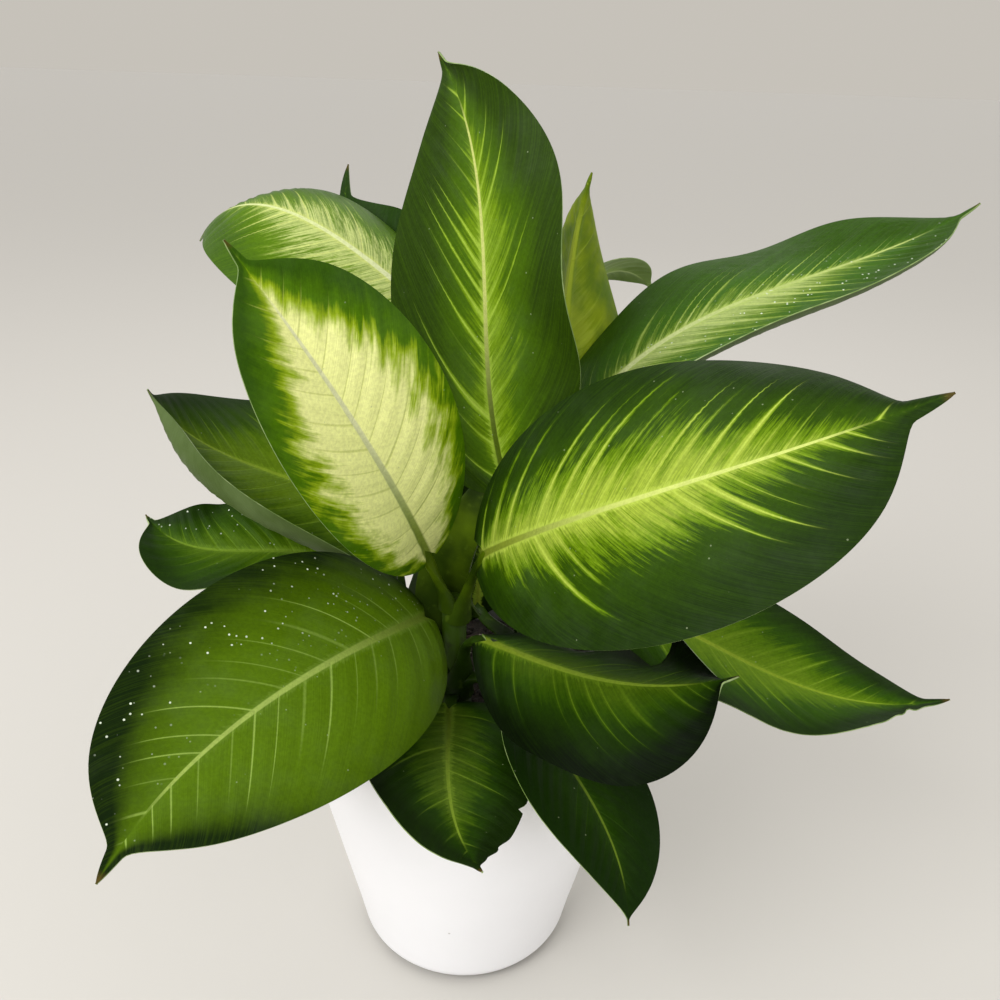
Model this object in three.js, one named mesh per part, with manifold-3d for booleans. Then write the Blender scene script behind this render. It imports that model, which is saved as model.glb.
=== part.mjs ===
// Potted dieffenbachia: a white tapered pot of soil, three short canes, and eighteen leaves.
// Millimetres, +Z up, origin at the middle of the pot's underside.
// -Y is the front, where the cream leaf and the large lower leaves look out over the rim.

import * as THREE from 'three';
import { mergeVertices } from 'three/addons/utils/BufferGeometryUtils.js';
import Module from 'manifold-3d';

const wasm = await Module();
wasm.setup();

// Pot
const potHeight = 160;
const potTopRadius = 91;
const potBaseRadius = 43;
const potTaper = 0.2175; // outward lean of the wall, mm per mm of height
const potFootRound = 13; // radius of the rounded bottom edge
const potWall = 4;
const potFloor = 6;
const rimRound = 1.6;
const potSides = 36;

// Soil and canes
const seat = 0.3; // clearance between pieces that touch
const soilLevel = 144;
const soilLump = 1.6; // height of the loose lumps on top
const soilSides = 20;
const caneHole = 42; // depth of the hole that each cane stands in
const caneSides = 10;
const scarStep = 11; // height from one ring scar to the next
const scarTop = 166; // above this the canes are young and smooth
const canes = {
  cane_front: { x: -8, y: -6, top: 212, radius: 6.2 },
  cane_right: { x: 32, y: 22, top: 176, radius: 7.5 },
  cane_left: { x: -34, y: 24, top: 172, radius: 7.5 },
};

// Leaf blade and stalk
const bladeThickness = 0.8;
const ribDepth = 2.4; // how far the midrib stands out below the blade, at its base
const lobeShare = 0.05; // how far the base lobes reach back, as a share of the length
const rollStart = 0.1; // share of the length over which a rolled margin starts
const fullness = 1.15; // below 1 the blade's body is fuller, above 1 slimmer
const tailShare = 0.15; // share of the length over which the drawn-out tip runs to nothing
const tailPower = 0.7;
const tipEase = 0.035; // how softly the blade's body runs out into its tip
const tipHalfWidth = 1;
const grain = 0.01; // finest step between corners of a cut solid
const bladeRows = 12;
const rowCrowding = 0.7; // how much the rows crowd towards both ends
const bladeColumns = [0.08, 0.36, 0.69, 1]; // breaks across half a blade
const stalkSides = 8;
const stalkRows = 7;
const stalkTop = 2.9; // half width of the stalk where it meets the blade
const stalkMiddle = 4.2;
const stalkFoot = 9.8; // half width of the sheath that clasps the cane
const stalkDepth = 0.82; // its depth as a share of its width
const sheathShare = 0.3; // share of the stalk over which the sheath narrows
const stalkOffset = 3; // how far the foot's middle lies off the cane's middle
const stalkBow = 0.12; // how far a stalk first leans out, as a share of its reach
const stalkRise = 0.35; // how far it first rises
const stalkLead = 45; // longest straight run of a stalk into its blade

// Each leaf, from the youngest on its cane to the oldest.
// base, tip: ends of the midrib. rise and swing: how far the midrib stands off the straight
// line between them, towards the upper face and to the right, a third and two thirds along.
// looks: compass turn from the front and tilt up of the upper face, in degrees.
// fold: how far both halves turn up at the midrib. curl, curlTip: further turn of the left and
// right half at the base and the tip. roll: turn of the outer half of each side, from rollFrom on.
// wave: height of the margin's waves, with their number and start. taper: where the blade's body
// ends, point: how slim it ends, drip: how wide the drawn-out tip starts.
// sheath: share of the stalk that is wide, clasp: half width there, flat: its depth as a share.
// bow: where the stalk first leans, lead: its straight run into the blade.
const leaves = {
  leaf_cream: {
    cane: 'cane_front', foot: 206, turn: -130, clasp: 6.8,
    base: [-21, -23, 244], tip: [-85, -82, 393], rise: [20, 17], swing: [-3, -1],
    looks: [11, 45], twist: 3, width: 81, widest: 0.5, fold: 14,
    curl: [-4, -5], curlTip: [-2, -4], sides: [0.93, 1.04], taper: 0.951, drip: 0.11,
  },
  leaf_large_right: {
    cane: 'cane_front', foot: 200, turn: -50, clasp: 7.6,
    base: [7, -31, 248], tip: [163, -111, 356], rise: [36, 20], swing: [12, 12],
    looks: [10, 48], twist: -16, width: 115, widest: 0.48, fold: -2,
    curl: [11, 10], curlTip: [-37, -20], sides: [1.03, 0.97], taper: 0.936, drip: 0.146,
  },
  leaf_upright: {
    cane: 'cane_front', foot: 190, turn: 90, clasp: 16, flat: 0.4, bow: [-22, 2], lead: 10,
    base: [14, -14, 282], tip: [-20, 39, 455], rise: [0, 8], swing: [-8, 32],
    looks: [-31, -2], twist: 0, sheath: 1.4, width: 99, widest: 0.38, fold: 9,
    curl: [-4, -5], curlTip: [-11, -2], wave: [-1.5, 9], waves: [1.5, 1.9], start: [0, 132],
    taper: 0.967, drip: 0.13,
  },
  leaf_front_right: {
    cane: 'cane_front', foot: 164, turn: -40,
    base: [9, -41, 208], tip: [111, -97, 231], rise: [-4, -2], swing: [7, 22],
    looks: [8, 75], twist: 2, width: 84, widest: 0.53, fold: -22,
    curl: [-12, -13], curlTip: [-17, -16], wave: [5, -3.5], waves: [3.1, 1.8], start: [-20, -20],
    taper: 0.953, drip: 0.1, roll: [95, 0], rollFrom: 0.66,
  },
  leaf_front_left: {
    cane: 'cane_front', foot: 160, turn: -150,
    base: [-22, -14, 203], tip: [-120, -177, 193], rise: [39, 12], swing: [-1, 25],
    looks: [2, 41], twist: 17, width: 105, widest: 0.45, fold: 3,
    curl: [-24, -6], curlTip: [7, 5], sides: [0.94, 1.04], taper: 0.95, drip: 0.13,
  },
  leaf_hanging: {
    cane: 'cane_front', foot: 156, turn: -25,
    base: [31, -42, 171], tip: [70, -139, 139], rise: [6, 7], swing: [0, -15],
    looks: [35, 46], twist: 7, width: 62, widest: 0.42, fold: 8,
    curl: [-6, -3], curlTip: [-5, -5], taper: 0.99, point: 1.7, drip: 0.04,
  },
  leaf_front_low: {
    cane: 'cane_front', foot: 151, turn: -90,
    base: [-9, -27, 159], tip: [11, -139, 165], rise: [9, -8], swing: [5, 14],
    looks: [23, 59], twist: -12, width: 76, widest: 0.42, fold: 9,
    curl: [-5, -4], curlTip: [-8, -1], wave: [2.6, 2.9], waves: [2, 1.85], start: [0, -15],
    taper: 0.97, drip: 0.09,
  },
  leaf_rolled: {
    cane: 'cane_right', foot: 170, turn: 60,
    base: [43, 44, 282], tip: [53, 79, 404], rise: [0, 3], swing: [4, 10],
    looks: [159, -8], twist: 48, width: 80, widest: 0.37, fold: 55,
    curl: [3, 22], curlTip: [26, 28], taper: 0.952, drip: 0.1,
  },
  leaf_long_right: {
    cane: 'cane_right', foot: 165, turn: -10,
    base: [52, 14, 301], tip: [240, 65, 397], rise: [27, -8], swing: [-20, 1],
    looks: [-1, 76], twist: 5, width: 90, widest: 0.4, fold: 2,
    curl: [-12, 5], curlTip: [-4, 8], roll: [0, 53], wave: [3.6, 0.4], waves: [2.5, 2.9],
    start: [132, -7], taper: 0.955, drip: 0.1,
  },
  leaf_back_drooping: {
    cane: 'cane_right', foot: 160, turn: 100,
    base: [41, 106, 312], tip: [103, 150, 328], rise: [23, 42], swing: [-15, 26],
    looks: [10, 123], twist: 19, width: 56, widest: 0.34, fold: 3,
    curl: [-15, 3], curlTip: [-17, -5], taper: 0.93, drip: 0.09,
  },
  leaf_right_low: {
    cane: 'cane_right', foot: 154, turn: -30,
    base: [63, 4, 209], tip: [229, -42, 184], rise: [1, -28], swing: [0, 20],
    looks: [11, 74], twist: -24, width: 81, widest: 0.41, fold: 14,
    curl: [-6, -7], curlTip: [-2, 0], wave: [0.9, 3.9], waves: [2, 2.4], start: [0, 86],
    taper: 0.955, point: 1.35, drip: 0.13,
  },
  leaf_back_right: {
    cane: 'cane_right', foot: 151, turn: 55,
    base: [47, 62, 205], tip: [118, 182, 212], rise: [22, 16], swing: [4, -4],
    looks: [20, 70], twist: 0, width: 84, widest: 0.45, fold: 10,
    curl: [-4, -5], curlTip: [-4, -6], taper: 0.952, drip: 0.1,
  },
  leaf_inner: {
    cane: 'cane_right', foot: 156, turn: 150,
    base: [2, 52, 170], tip: [6, 70, 258], rise: [2, 4], swing: [0, 3],
    looks: [0, 12], twist: 0, width: 42, widest: 0.42, fold: 8,
    curl: [-4, -5], curlTip: [-4, -6], taper: 0.952, drip: 0.1,
  },
  leaf_arched: {
    cane: 'cane_left', foot: 167, turn: 60,
    base: [-23, 47, 339], tip: [-151, 100, 361], rise: [21, 67], swing: [6, -5],
    looks: [0, 66], twist: -6, width: 99, widest: 0.4, fold: -10,
    curl: [-16, -18], curlTip: [-5, -14], sides: [1.06, 0.98], taper: 0.945, drip: 0.09,
  },
  leaf_back_left: {
    cane: 'cane_left', foot: 162, turn: 80,
    base: [-12, 84, 286], tip: [-76, 133, 399], rise: [22, 2], swing: [24, -39],
    looks: [-21, 17], twist: 4, width: 75, widest: 0.46, fold: 8,
    curl: [-5, -6], curlTip: [-5, -7], taper: 0.905, drip: 0.12,
  },
  leaf_left_curled: {
    cane: 'cane_left', foot: 157, turn: 180,
    base: [-46, 32, 218], tip: [-158, 20, 304], rise: [27, -34], swing: [3, 0],
    looks: [-12, 74], twist: 35, width: 108, widest: 0.45, fold: 7,
    curl: [2, -5], curlTip: [3, -5], roll: [88, 0], sides: [1.19, 1], taper: 0.982, drip: 0.11,
  },
  leaf_left_low: {
    cane: 'cane_left', foot: 152, turn: 170,
    base: [-74, 23, 213], tip: [-173, 34, 230], rise: [9, -5], swing: [-1, -27],
    looks: [-15, 66], twist: -6, width: 60, widest: 0.5, fold: 14,
    curl: [-4, -5], curlTip: [-5, -2], wave: [3.9, -3.6], waves: [2.4, 2], start: [38, 0],
    taper: 0.955, drip: 0.12,
  },
  leaf_back_low: {
    cane: 'cane_left', foot: 150, turn: 125,
    base: [-50, 62, 206], tip: [-112, 176, 222], rise: [20, 14], swing: [-4, 4],
    looks: [-15, 72], twist: 0, width: 80, widest: 0.45, fold: 10,
    curl: [-5, -4], curlTip: [-6, -4], taper: 0.952, drip: 0.1,
  },
};

const radians = THREE.MathUtils.degToRad;
const clamp01 = (x) => Math.min(1, Math.max(0, x));
const vector = (a) => new THREE.Vector3(a[0], a[1], a[2]);

// Closed mesh from rows of points: each row is a closed ring, and both ends are capped.
function loft(rings) {
  const count = rings[0].length;
  const positions = rings.flat().flatMap((p) => [p.x, p.y, p.z]);
  const index = [];
  for (let i = 0; i < rings.length - 1; i += 1) {
    for (let j = 0; j < count; j += 1) {
      const a = i * count + j;
      const b = i * count + ((j + 1) % count);
      index.push(a, b, b + count, a, b + count, a + count);
    }
  }
  const last = (rings.length - 1) * count;
  for (let j = 1; j < count - 1; j += 1) {
    index.push(0, j + 1, j);
    index.push(last, last + j, last + j + 1);
  }
  const geometry = new THREE.BufferGeometry();
  geometry.setAttribute('position', new THREE.Float32BufferAttribute(positions, 3));
  geometry.setIndex(index);
  return geometry;
}

function solid(geometry) {
  const bare = geometry.clone();
  bare.deleteAttribute('normal');
  bare.deleteAttribute('uv');
  const merged = mergeVertices(bare, 1e-3);
  const mesh = new wasm.Mesh({
    numProp: 3,
    vertProperties: new Float32Array(merged.attributes.position.array),
    triVerts: new Uint32Array(merged.index.array),
  });
  return new wasm.Manifold(mesh);
}

// A cut solid as a geometry, with its corners on a fine grid so that no edge is shorter than that.
function geometryOf(manifold) {
  const mesh = manifold.getMesh();
  const corners = Float32Array.from(mesh.vertProperties, (v) => Math.round(v / grain) * grain);
  const geometry = new THREE.BufferGeometry();
  geometry.setAttribute('position', new THREE.Float32BufferAttribute(corners, 3));
  geometry.setIndex(Array.from(mesh.triVerts));
  const merged = mergeVertices(geometry, grain / 10);
  const index = Array.from(merged.index.array);
  const kept = [];
  for (let i = 0; i < index.length; i += 3) {
    const [a, b, c] = index.slice(i, i + 3);
    if (a !== b && b !== c && c !== a) {
      kept.push(a, b, c);
    }
  }
  merged.setIndex(kept);
  return merged;
}

// The largest body of a cut solid; loose scraps of a cut are dropped.
function mainBody(manifold) {
  const bodies = manifold.decompose();
  return bodies.reduce((a, b) => (b.volume() > a.volume() ? b : a));
}

// Share of the half width at a place along the blade: round base, widest point, drawn-out tip.
function outline(t, leaf) {
  const q = clamp01(t / leaf.taper);
  const m = leaf.widest / leaf.taper;
  const slim = q < m ? fullness : leaf.point ?? fullness;
  const slender = ((q / m) ** m * ((1 - q) / (1 - m)) ** (1 - m)) ** slim;
  const body = slender * (1 - Math.exp((q - 1) / tipEase));
  return Math.hypot(body, leaf.drip * clamp01((1 - t) / tailShare) ** tailPower);
}

function lookDirection([turn, tilt]) {
  const a = radians(turn);
  const e = radians(tilt);
  return new THREE.Vector3(Math.sin(a) * Math.cos(e), -Math.cos(a) * Math.cos(e), Math.sin(e));
}

// The midrib as a cubic curve, with the directions to its right and to its upper face.
function midrib(leaf) {
  const base = vector(leaf.base);
  const tip = vector(leaf.tip);
  const chord = tip.clone().sub(base);
  const along = chord.clone().normalize();
  const right = along.clone().cross(lookDirection(leaf.looks)).normalize();
  const up = right.clone().cross(along);
  const control = (share, k) => base.clone()
    .addScaledVector(chord, share)
    .addScaledVector(up, leaf.rise[k])
    .addScaledVector(right, leaf.swing[k]);
  const curve = new THREE.CubicBezierCurve3(base, control(1 / 3, 0), control(2 / 3, 1), tip);
  return { curve, up };
}

// Frame of the blade at a place along it.
function bladeFrame(leaf, rib, t) {
  const point = rib.curve.getPoint(t);
  const along = rib.curve.getTangent(t);
  const chord = vector(leaf.tip).sub(vector(leaf.base)).normalize();
  const turned = rib.up.clone().applyAxisAngle(chord, radians(leaf.twist) * (t - 0.5));
  const right = along.clone().cross(turned).normalize();
  const up = right.clone().cross(along);
  return { point, along, right, up };
}

// Points of one row of the blade, from the left margin to the right one, with their normals.
function bladeRow(leaf, rib, t, length) {
  const { point, along, right, up } = bladeFrame(leaf, rib, t);
  const sides = leaf.sides ?? [1, 1];
  const roll = leaf.roll ?? [0, 0];
  const wave = leaf.wave ?? [0, 0];
  const waves = leaf.waves ?? [2, 2];
  const start = leaf.start ?? [0, 0];
  const rolled = clamp01((t - (leaf.rollFrom ?? 0)) / rollStart);
  const share = outline(t, leaf);
  const row = [{ point, normal: up }];
  [-1, 1].forEach((sign, side) => {
    const half = Math.max(tipHalfWidth, (leaf.width / 2) * share * sides[side]);
    const curl = THREE.MathUtils.lerp(leaf.curl[side], leaf.curlTip[side], t);
    let x = 0;
    let z = 0;
    let from = 0;
    for (const to of bladeColumns) {
      const middle = (from + to) / 2;
      const bend = leaf.fold + 1.5 * curl * middle ** 2
        + roll[side] * clamp01((middle - 0.5) / 0.5) * rolled;
      x += half * (to - from) * Math.cos(radians(bend));
      z += half * (to - from) * Math.sin(radians(bend));
      const ripple = wave[side] * to ** 2 * Math.sqrt(Math.sin(Math.PI * t))
        * Math.sin(2 * Math.PI * waves[side] * t + radians(start[side]));
      const back = -lobeShare * length * (1 - t) ** 4 * to;
      const place = point.clone()
        .addScaledVector(right, sign * x)
        .addScaledVector(up, z + ripple)
        .addScaledVector(along, back);
      const normal = up.clone().multiplyScalar(Math.cos(radians(bend)))
        .addScaledVector(right, -sign * Math.sin(radians(bend)));
      const item = { point: place, normal };
      if (sign < 0) {
        row.unshift(item);
      } else {
        row.push(item);
      }
      from = to;
    }
  });
  return row;
}

function bladeSolid(leaf, rib) {
  const length = rib.curve.getLength();
  const middle = bladeColumns.length;
  const rings = [];
  for (let i = 0; i <= bladeRows; i += 1) {
    const even = i / bladeRows;
    const t = THREE.MathUtils.lerp(even, (1 - Math.cos(Math.PI * even)) / 2, rowCrowding);
    const row = bladeRow(leaf, rib, t, length);
    const top = row.map((p) => p.point.clone().addScaledVector(p.normal, bladeThickness / 2));
    const under = row.map((p, k) => {
      const keel = k === middle ? ribDepth * (1 - t) ** 0.6 : 0;
      return p.point.clone().addScaledVector(p.normal, -bladeThickness / 2 - keel);
    });
    rings.push({ top, under });
  }
  const columns = 2 * middle + 1;
  const positions = rings.flatMap((r) => [...r.top, ...r.under]).flatMap((p) => [p.x, p.y, p.z]);
  const index = [];
  const quad = (a, b, c, d) => index.push(a, b, c, a, c, d);
  const at = (i, side, j) => i * 2 * columns + side * columns + j;
  for (let i = 0; i < bladeRows; i += 1) {
    for (let j = 0; j < columns - 1; j += 1) {
      const square = (side) => [at(i, side, j), at(i, side, j + 1), at(i + 1, side, j + 1),
        at(i + 1, side, j)];
      const [a, b, c, d] = square(0);
      index.push(a, b, c, a, c, d);
      const [e, f, g, h] = square(1);
      index.push(e, g, f, e, h, g);
    }
    quad(at(i, 0, 0), at(i + 1, 0, 0), at(i + 1, 1, 0), at(i, 1, 0));
    quad(at(i, 0, columns - 1), at(i, 1, columns - 1), at(i + 1, 1, columns - 1),
      at(i + 1, 0, columns - 1));
  }
  for (let j = 0; j < columns - 1; j += 1) {
    quad(at(0, 0, j), at(0, 1, j), at(0, 1, j + 1), at(0, 0, j + 1));
    quad(at(bladeRows, 0, j), at(bladeRows, 0, j + 1), at(bladeRows, 1, j + 1),
      at(bladeRows, 1, j));
  }
  const geometry = new THREE.BufferGeometry();
  geometry.setAttribute('position', new THREE.Float32BufferAttribute(positions, 3));
  geometry.setIndex(index);
  return solid(geometry);
}

// The stalk: a clasping sheath at the cane that narrows to a channelled stem below the blade.
function stalkSolid(leaf, rib, extra = 0) {
  const cane = canes[leaf.cane];
  const outward = new THREE.Vector3(Math.cos(radians(leaf.turn)), Math.sin(radians(leaf.turn)), 0);
  const foot = new THREE.Vector3(cane.x, cane.y, leaf.foot).addScaledVector(outward, stalkOffset);
  const end = bladeFrame(leaf, rib, 0);
  const top = end.point.clone().addScaledVector(end.along, 5).addScaledVector(end.up, -1.6);
  const reach = foot.distanceTo(top);
  const sheath = leaf.sheath ?? sheathShare;
  const clasp = leaf.clasp ?? stalkFoot;
  const [bowX, bowY] = leaf.bow ?? [outward.x * stalkBow * reach, outward.y * stalkBow * reach];
  const curve = new THREE.CubicBezierCurve3(
    foot,
    foot.clone().add(new THREE.Vector3(bowX, bowY, stalkRise * reach)),
    top.clone().addScaledVector(end.along, -Math.min(0.4 * reach, leaf.lead ?? stalkLead)),
    top,
  );
  const rings = [];
  for (let i = 0; i <= stalkRows; i += 1) {
    const s = (i / stalkRows) ** 1.3;
    const along = curve.getTangent(s);
    const inner = outward.clone().negate().lerp(end.up, s);
    const right = along.clone().cross(inner).normalize();
    const up = right.clone().cross(along);
    const slender = stalkMiddle + (stalkTop - stalkMiddle) * s;
    const wide = extra + slender + (clasp - slender) * clamp01(1 - s / sheath) ** 1.5;
    const deep = extra + (leaf.flat ?? stalkDepth) * (wide - extra);
    const centre = curve.getPoint(s);
    centre.z -= i === 0 ? extra : 0;
    const ring = [];
    for (let k = 0; k < stalkSides; k += 1) {
      const a = (2 * Math.PI * k) / stalkSides;
      ring.push(centre.clone()
        .addScaledVector(right, wide * Math.cos(a))
        .addScaledVector(up, -deep * Math.sin(a)));
    }
    rings.push(ring);
  }
  return solid(loft(rings));
}

function lathe(points, sides) {
  const geometry = new THREE.LatheGeometry(points.map(([r, z]) => new THREE.Vector2(r, z)), sides);
  return geometry.rotateX(Math.PI / 2);
}

function arcPoints(cx, cz, radius, from, to, steps) {
  return Array.from({ length: steps + 1 }, (_, k) => {
    const a = radians(from + ((to - from) * k) / steps);
    return [cx + radius * Math.cos(a), cz + radius * Math.sin(a)];
  });
}

const wallRadius = (z) => potTopRadius - potTaper * (potHeight - z);

function potSolid() {
  const leanAngle = THREE.MathUtils.radToDeg(Math.atan(potTaper));
  const footCentre = potBaseRadius + potFootRound * 0.28;
  const outer = [
    [0, 0],
    [potBaseRadius, 0],
    ...arcPoints(wallRadius(potFootRound) - potFootRound, potFootRound, potFootRound,
      -75, -leanAngle, 5),
    [wallRadius(90), 90],
  ];
  const rim = arcPoints(potTopRadius - rimRound, potHeight - rimRound, rimRound, 0, 180, 4)
    .map(([r, z], k) => (k > 2 ? [r - (potWall - 2 * rimRound), z] : [r, z]));
  const inner = [
    [wallRadius(110) - potWall, 110],
    [wallRadius(potFootRound + 8) - potWall, potFootRound + 8],
    [footCentre, potFloor],
    [0, potFloor],
  ];
  return lathe([...outer, ...rim, ...inner], potSides);
}

function soilSolid() {
  const bottom = potFloor + seat;
  const inside = (z) => wallRadius(z) - potWall - 2 * seat;
  const rings = [[0, bottom], [potBaseRadius, bottom], [inside(28), 28], [inside(110), 110],
    [inside(soilLevel - 3), soilLevel - 3], [inside(soilLevel) - 4, soilLevel],
    [66, soilLevel + 0.5], [48, soilLevel + 1], [30, soilLevel + 1], [14, soilLevel + 1],
    [0, soilLevel + 1]];
  const geometry = lathe(rings, soilSides);
  const position = geometry.attributes.position;
  for (let i = 0; i < position.count; i += 1) {
    const x = position.getX(i);
    const y = position.getY(i);
    const z = position.getZ(i);
    if (z > soilLevel - 1) {
      const lumps = Math.sin(0.31 * x + 1.3) * Math.cos(0.27 * y) + 0.5 * Math.sin(0.6 * x - 0.5 * y);
      position.setZ(i, z + soilLump * 0.5 * lumps);
    }
  }
  let soil = solid(geometry);
  for (const name of Object.keys(canes)) {
    soil = soil.subtract(caneSolid(name, seat, seat));
  }
  return soil;
}

// A short cane with the ring scars of fallen leaves. extra makes it wider, drop makes it deeper.
function caneSolid(name, extra = 0, drop = 0) {
  const { x, y, top, radius } = canes[name];
  const r = radius + extra;
  const bottom = soilLevel - caneHole - drop;
  const profile = [[0, bottom], [r - 2, bottom], [r, bottom + 3], [r, soilLevel - 14]];
  for (let z = soilLevel - 10; z < scarTop; z += scarStep) {
    profile.push([r, z], [r + 0.7, z + 1.2], [r, z + 2.4]);
  }
  profile.push([r, top - 3], [r - 3, top], [0, top]);
  return solid(lathe(profile, caneSides).translate(x, y, 0));
}

function finish(color, roughness) {
  return new THREE.MeshStandardMaterial({ color, roughness, metalness: 0 });
}

const finishes = {
  pot: finish('#f3f2ef', 0.45),
  soil: finish('#2b2018', 0.95),
  cane: finish('#5f7d2e', 0.55),
  leaf: finish('#3c6b12', 0.4),
  creamLeaf: finish('#c9d66b', 0.4),
};

const plant = new THREE.Group();
plant.name = 'potted_dieffenbachia';

function add(name, geometry, material) {
  const mesh = new THREE.Mesh(geometry, material);
  mesh.name = name;
  plant.add(mesh);
}

add('pot', potSolid(), finishes.pot);
add('soil', geometryOf(soilSolid()), finishes.soil);
for (const name of Object.keys(canes)) {
  add(name, geometryOf(caneSolid(name)), finishes.cane);
}

// On one cane each older leaf's sheath is cut clear of the younger stalks inside it.
const youngerStalks = Object.fromEntries(Object.keys(canes).map((name) => [name, []]));
for (const [name, leaf] of Object.entries(leaves)) {
  const rib = midrib(leaf);
  let body = bladeSolid(leaf, rib).add(stalkSolid(leaf, rib));
  body = body.subtract(caneSolid(leaf.cane, seat, seat));
  for (const stalk of youngerStalks[leaf.cane]) {
    body = body.subtract(stalk);
  }
  youngerStalks[leaf.cane].push(stalkSolid(leaf, rib, seat));
  add(name, geometryOf(mainBody(body)), name === 'leaf_cream' ? finishes.creamLeaf : finishes.leaf);
}

export default plant;
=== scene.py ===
import math
import random

import bmesh
import bpy
import numpy as np
from mathutils import Matrix, Vector, noise


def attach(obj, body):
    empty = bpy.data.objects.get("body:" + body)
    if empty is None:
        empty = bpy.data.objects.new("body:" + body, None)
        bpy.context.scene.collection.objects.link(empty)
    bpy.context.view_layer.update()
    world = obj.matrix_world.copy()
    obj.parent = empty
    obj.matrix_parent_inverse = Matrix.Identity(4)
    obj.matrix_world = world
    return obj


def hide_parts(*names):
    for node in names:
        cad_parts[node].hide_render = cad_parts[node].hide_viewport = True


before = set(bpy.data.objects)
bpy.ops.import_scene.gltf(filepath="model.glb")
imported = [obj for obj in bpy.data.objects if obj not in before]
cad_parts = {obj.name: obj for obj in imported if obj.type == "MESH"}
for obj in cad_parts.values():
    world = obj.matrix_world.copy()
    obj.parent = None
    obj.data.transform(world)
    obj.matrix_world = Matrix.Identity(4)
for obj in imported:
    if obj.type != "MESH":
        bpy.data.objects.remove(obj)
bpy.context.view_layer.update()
mm = 0.001  # sizes below are in millimetres


# Small helpers

def deselectAll():
    if bpy.context.mode != "OBJECT":
        bpy.ops.object.mode_set(mode="OBJECT")
    bpy.ops.object.select_all(action="DESELECT")


def paint(hexColour):
    # a colour as a painter picks it on screen, made linear for the shader
    channels = [int(hexColour[i:i + 2], 16) / 255 for i in (1, 3, 5)]
    linear = [c / 12.92 if c <= 0.04045 else ((c + 0.055) / 1.055) ** 2.4 for c in channels]
    return (*linear, 1.0)


class Value:
    # a node's output that can be reckoned with: each operation adds a math node to its tree
    def __init__(self, tree, socket):
        self.tree = tree
        self.socket = socket

    def __add__(self, other):
        return calc("ADD", self, other)

    def __sub__(self, other):
        return calc("SUBTRACT", self, other)

    def __rsub__(self, other):
        return calc("SUBTRACT", other, self)

    def __mul__(self, other):
        return calc("MULTIPLY", self, other)

    def __truediv__(self, other):
        return calc("DIVIDE", self, other)

    def __pow__(self, other):
        return calc("POWER", self, other)

    def __abs__(self):
        return calc("ABSOLUTE", self)


def treeOf(*values):
    return next(value.tree for value in values if isinstance(value, Value))


def wire(socket, value):
    # a socket takes a link from a node's output, or a plain value
    if isinstance(value, Value):
        value.tree.links.new(value.socket, socket)
    else:
        socket.default_value = value


def addNode(tree, kind, inputs, output, **settings):
    # a node with its settings and inputs, and the output to go on with
    node = tree.nodes.new("ShaderNode" + kind)
    for label, value in settings.items():
        setattr(node, label, value)
    for label, value in inputs.items():
        wire(node.inputs[label], value)
    return Value(tree, node.outputs[output])


def calc(operation, *values, clamp=False):
    return addNode(treeOf(*values), "Math", dict(enumerate(values)), 0, operation=operation, use_clamp=clamp)


def ease(value, low, high, fromZero=0.0, toOne=1.0):
    # smooth step: fromZero below low, toOne above high
    inputs = {"Value": value, "From Min": low, "From Max": high, "To Min": fromZero, "To Max": toOne}
    return addNode(value.tree, "MapRange", inputs, "Result", interpolation_type="SMOOTHSTEP")


def mixColour(share, first, second, mode="MIX"):
    tree = treeOf(share, first, second)
    return addNode(tree, "Mix", {0: share, 6: first, 7: second}, 2, data_type="RGBA", blend_type=mode)


def noiseAt(places, scale, detail, roughness=0.5):
    inputs = {"Vector": places, "Scale": scale, "Detail": detail, "Roughness": roughness}
    return addNode(places.tree, "TexNoise", inputs, "Fac")


def vectorOf(*parts):
    return addNode(treeOf(*parts), "CombineXYZ", dict(enumerate(parts)), 0)


def partsOf(vector):
    node = vector.tree.nodes.new("ShaderNodeSeparateXYZ")
    wire(node.inputs[0], vector)
    return [Value(vector.tree, socket) for socket in node.outputs]


def newGroup(name, inputs, outputs):
    # inputs and outputs: the names of the sockets, under their kind
    group = bpy.data.node_groups.new(name, "ShaderNodeTree")
    for way, sockets in (("INPUT", inputs), ("OUTPUT", outputs)):
        for kind, labels in sockets.items():
            for label in labels:
                group.interface.new_socket(label, in_out=way, socket_type="NodeSocket" + kind)
    entry = group.nodes.new("NodeGroupInput")
    leave = group.nodes.new("NodeGroupOutput")
    return group, {socket.name: Value(group, socket) for socket in entry.outputs}, leave.inputs


def placeGroup(material, group, values):
    tree = material.node_tree
    node = tree.nodes.new("ShaderNodeGroup")
    node.node_tree = group
    for label, value in values.items():
        wire(node.inputs[label], value)
    return {socket.name: Value(tree, socket) for socket in node.outputs}


def newMaterial(name, roughness, **sockets):
    material = bpy.data.materials.new(name)
    material.use_nodes = True
    shader = material.node_tree.nodes["Principled BSDF"].inputs
    shader["Roughness"].default_value = roughness
    for label, value in sockets.items():
        shader[label.replace("_", " ")].default_value = value
    return material, shader


def addBump(shader, height, strength, distance):
    inputs = {"Strength": strength, "Distance": distance, "Height": height}
    wire(shader["Normal"], addNode(height.tree, "Bump", inputs, "Normal"))


def objectPlaces(material):
    return addNode(material.node_tree, "TexCoord", {}, "Object")


def uvPlaces(material, name):
    return addNode(material.node_tree, "UVMap", {}, "UV", uv_map=name)


# Leaf pattern: where the midrib, the side veins and the streaks between them lie

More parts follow.
